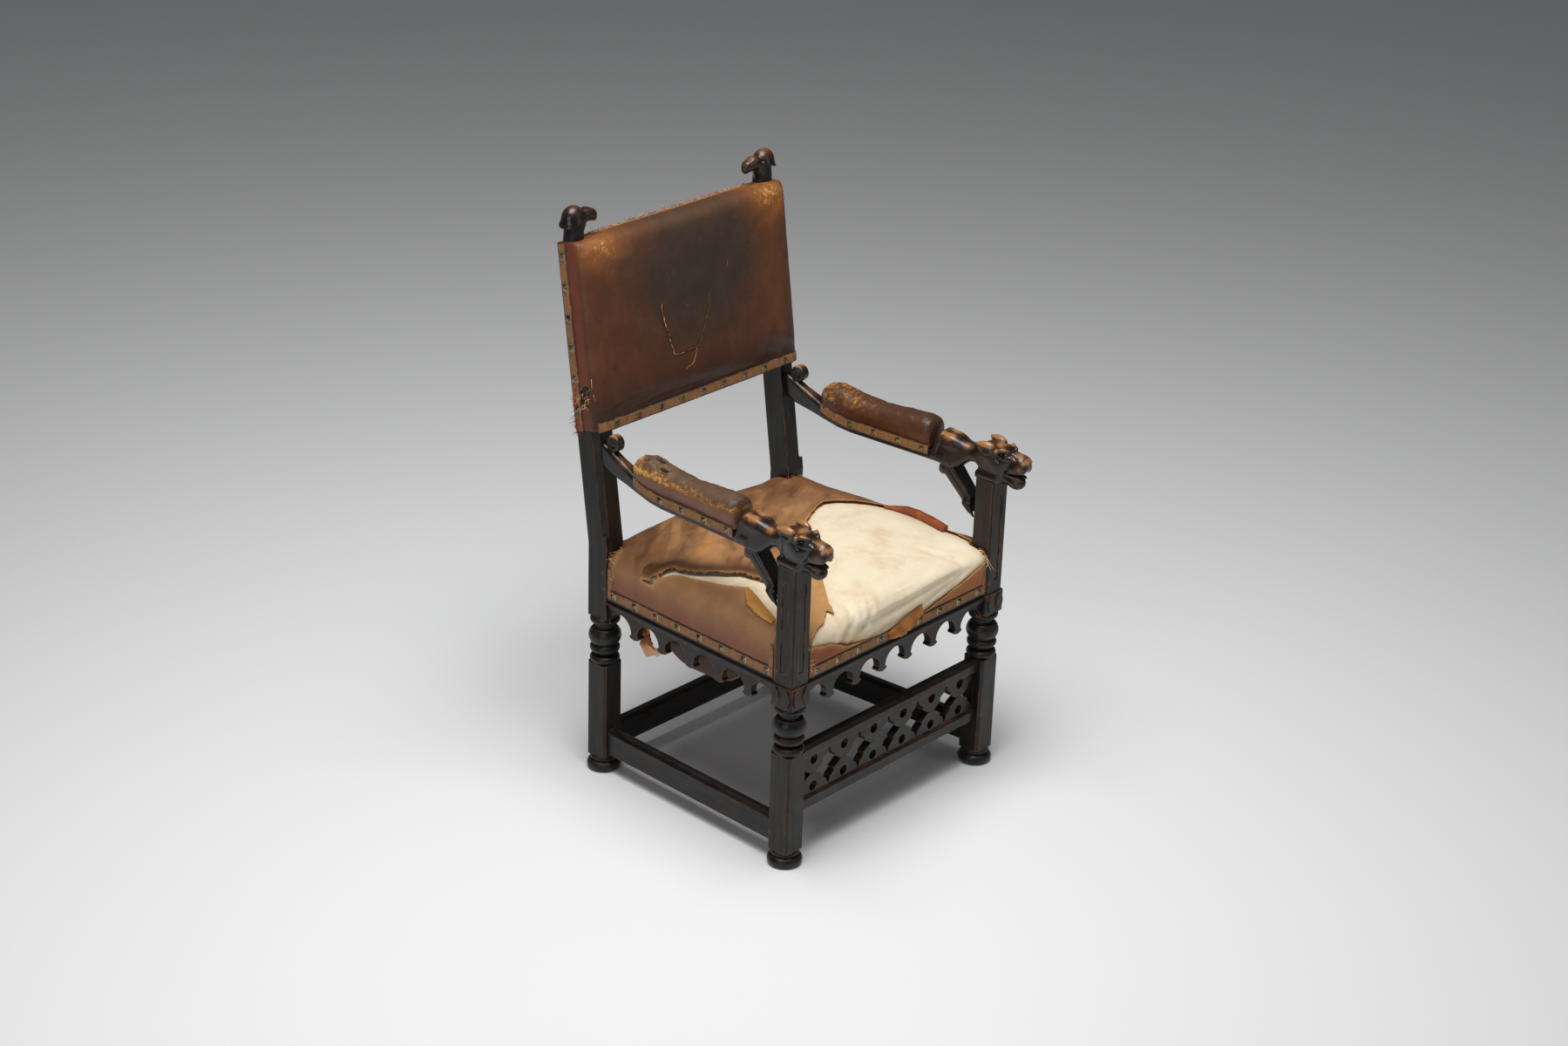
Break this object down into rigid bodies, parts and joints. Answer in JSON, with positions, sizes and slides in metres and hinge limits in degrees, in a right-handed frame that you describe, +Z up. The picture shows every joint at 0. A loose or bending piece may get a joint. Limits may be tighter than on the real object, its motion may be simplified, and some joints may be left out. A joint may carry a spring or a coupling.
{
  "type": "gothic throne chair",
  "caption": "Gothic revival throne chair with turned legs, pierced aprons, tracery stretcher, beast-head arms, eagle finials and worn, torn leather over a stuffed seat and back.",
  "frame": {"origin": "on the floor, in the middle of the chair's outline seen from above", "axes": "+Z up along the legs, -Y towards the front of the chair, +X towards the right of the seat seen from the front"},
  "size_m": [0.615, 0.6656, 1.1002],
  "materials": {
    "ebonised_wood": "satin",
    "carved_wood": "polished",
    "frame_wood": "raw",
    "leather": "worn",
    "outer_leather": "matt",
    "muslin": "woven",
    "stuffing": "fibrous",
    "jute": "woven",
    "bottom_cloth": "woven",
    "braid": "woven",
    "stud_metal": "tarnished"
  },
  "bodies": {
    "root": {"arm_dowels": "frame_wood", "arm_studs": "stud_metal", "back_bottom_rail": "frame_wood", "back_braid": "braid", "back_hessian": "jute", "back_leather": "leather", "back_outer_cover": "outer_leather", "back_padding": "stuffing", "back_studs": "stud_metal", "back_top_rail": "frame_wood", "back_webbing": "jute", "corner_blocks": "frame_wood", "front_apron": "ebonised_wood", "front_apron_moulding": "ebonised_wood", "front_seat_braid": "braid", "front_seat_rail": "frame_wood", "front_tracery_lower": "ebonised_wood", "front_tracery_upper": "ebonised_wood", "left_apron": "ebonised_wood", "left_apron_moulding": "ebonised_wood", "left_arm": "carved_wood", "left_arm_braid": "braid", "left_arm_leather": "leather", "left_arm_pad": "stuffing", "left_eagle": "carved_wood", "left_foreleg": "carved_wood", "left_front_leg": "ebonised_wood", "left_rear_post": "ebonised_wood", "left_seat_braid": "braid", "left_seat_rail": "frame_wood", "left_stretcher": "ebonised_wood", "rear_seat_braid": "braid", "rear_seat_rail": "frame_wood", "rear_stretcher": "ebonised_wood", "right_apron": "ebonised_wood", "right_apron_moulding": "ebonised_wood", "right_arm": "carved_wood", "right_arm_braid": "braid", "right_arm_leather": "leather", "right_arm_pad": "stuffing", "right_eagle": "carved_wood", "right_foreleg": "carved_wood", "right_front_leg": "ebonised_wood", "right_rear_post": "ebonised_wood", "right_seat_braid": "braid", "right_seat_rail": "frame_wood", "right_stretcher": "ebonised_wood", "seat_bottom_cloth": "bottom_cloth", "seat_hessian": "jute", "seat_leather": "leather", "seat_muslin": "muslin", "seat_padding": "stuffing", "seat_rail_pegs": "ebonised_wood", "seat_studs": "stud_metal", "seat_webbing": "jute", "stretcher_pegs": "ebonised_wood"}
  },
  "joints": []
}
